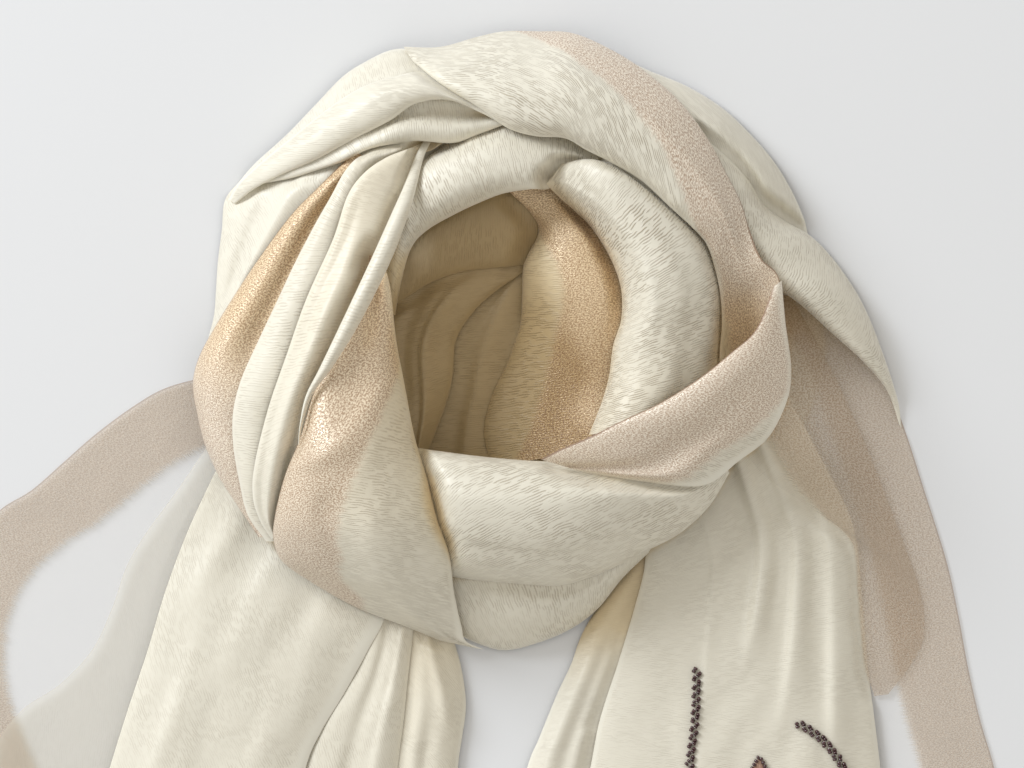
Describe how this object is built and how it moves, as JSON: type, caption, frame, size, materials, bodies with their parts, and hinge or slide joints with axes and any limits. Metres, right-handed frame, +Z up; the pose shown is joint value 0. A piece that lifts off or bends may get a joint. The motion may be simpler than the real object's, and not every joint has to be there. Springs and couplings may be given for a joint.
{
  "type": "beaded scarf",
  "caption": "Fine cream crepe scarf with rose-gold metallic borders and beaded ends, wound in a loose loop and laid flat with both tails running down.",
  "frame": {"origin": "on the table under the hollow of the loop, at the centre of the picture", "axes": "+Z up from the table, +Y away from the tails, towards the head of the loop, +X to the right seen from above with the tails towards the viewer"},
  "size_m": [0.5551, 0.6163, 0.0734],
  "materials": {
    "cream_crepe": "satin",
    "rose_gold_border": "metallic satin"
  },
  "bodies": {
    "root": {"top_wrap": "cream_crepe", "upper_left_wrap": "cream_crepe", "left_side": "cream_crepe", "left_pleats": "cream_crepe", "pleat_strand": "cream_crepe", "front_roll": "cream_crepe", "under_roll": "cream_crepe", "right_roll": "cream_crepe", "top_roll": "cream_crepe", "hollow_fold_upper": "cream_crepe", "hollow_fold_left": "cream_crepe", "hollow_floor": "cream_crepe", "back_arc": "cream_crepe", "outer_roll": "cream_crepe", "left_tail": "cream_crepe", "left_tail_folds": "cream_crepe", "right_tail": "cream_crepe", "ring_heap": "cream_crepe", "left_tail_heap": "cream_crepe", "right_tail_heap": "cream_crepe", "left_band": "rose_gold_border", "left_drape": "rose_gold_border", "front_fold": "rose_gold_border", "gold_roll": "rose_gold_border", "right_tail_band": "rose_gold_border", "left_veil": "rose_gold_border"}
  },
  "joints": []
}
